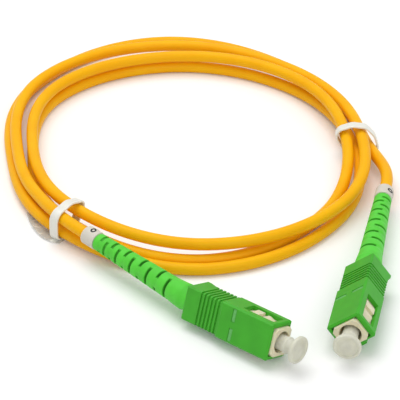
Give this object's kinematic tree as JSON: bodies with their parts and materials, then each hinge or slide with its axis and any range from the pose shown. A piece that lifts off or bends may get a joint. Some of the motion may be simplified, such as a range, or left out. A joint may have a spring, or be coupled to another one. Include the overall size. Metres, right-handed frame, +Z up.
{
  "type": "fiber optic patch cord",
  "caption": "Simplex fibre patch cord: coiled yellow 3 mm cable, a green angled SC plug with slotted boot and dust cap at each end, held by white ties.",
  "frame": {"origin": "on the surface the cord lies on, under the middle of the two plugs with their boots", "axes": "+Z up; +X to the right and +Y away, seen from the side of the plugs' dust caps"},
  "size_m": [0.0996, 0.1539, 0.0112],
  "materials": {
    "green_housing": "satin",
    "ivory_frame": "satin",
    "ivory_body": "matte",
    "zirconia": "polished",
    "plated_brass": "satin",
    "spring_steel": "satin",
    "crimp_metal": "satin",
    "guide_tube": "translucent",
    "buffer": "matte",
    "aramid": "fibrous",
    "green_boot": "satin",
    "cap_plastic": "translucent",
    "marker_plastic": "satin",
    "yellow_jacket": "satin",
    "tie_plastic": "satin"
  },
  "bodies": {
    "cord_and_plugs": {"plug_frame_a": "ivory_frame", "spring_a": "spring_steel", "rear_body_a": "ivory_body", "aramid_yarn_a": "aramid", "crimp_sleeve_a": "crimp_metal", "boot_a": "green_boot", "marker_sleeve_a": "marker_plastic", "plug_frame_b": "ivory_frame", "spring_b": "spring_steel", "rear_body_b": "ivory_body", "aramid_yarn_b": "aramid", "crimp_sleeve_b": "crimp_metal", "boot_b": "green_boot", "marker_sleeve_b": "marker_plastic", "cable_coil": "yellow_jacket", "cable_lead_a": "yellow_jacket", "cable_lead_b": "yellow_jacket", "tie_left": "tie_plastic", "tie_right": "tie_plastic"},
    "outer_grip_a": {"grip_a": "green_housing"},
    "outer_grip_b": {"grip_b": "green_housing"},
    "ferrule_group_a": {"ferrule_a": "zirconia", "ferrule_flange_a": "plated_brass", "inner_tube_a": "guide_tube", "fibre_a": "buffer"},
    "ferrule_group_b": {"ferrule_b": "zirconia", "ferrule_flange_b": "plated_brass", "inner_tube_b": "guide_tube", "fibre_b": "buffer"},
    "cap_a": {"dust_cap_a": "cap_plastic"},
    "cap_b": {"dust_cap_b": "cap_plastic"}
  },
  "joints": [
    {"name": "grip_a_pull", "type": "slide", "parent": "cord_and_plugs", "child": "outer_grip_a", "axis": [-0.7626, 0.6467, -0.0175], "range_m": [0, 0.0015]},
    {"name": "grip_b_pull", "type": "slide", "parent": "cord_and_plugs", "child": "outer_grip_b", "axis": [0.2028, 0.9792, 0], "range_m": [0, 0.0015]},
    {"name": "ferrule_a_press", "type": "slide", "parent": "cord_and_plugs", "child": "ferrule_group_a", "axis": [-0.7626, 0.6467, -0.0175], "range_m": [0, 0.0012], "stiffness_N_per_m": 2500, "springref_m": -0.003, "deforming": ["spring_a"]},
    {"name": "ferrule_b_press", "type": "slide", "parent": "cord_and_plugs", "child": "ferrule_group_b", "axis": [0.2028, 0.9792, 0], "range_m": [0, 0.0012], "stiffness_N_per_m": 2500, "springref_m": -0.003, "deforming": ["spring_b"]},
    {"name": "cap_a_pull_off", "type": "slide", "parent": "ferrule_group_a", "child": "cap_a", "axis": [0.7626, -0.6467, 0.0175], "range_m": [0, 0.006]},
    {"name": "cap_b_pull_off", "type": "slide", "parent": "ferrule_group_b", "child": "cap_b", "axis": [-0.2028, -0.9792, 0], "range_m": [0, 0.006]}
  ]
}
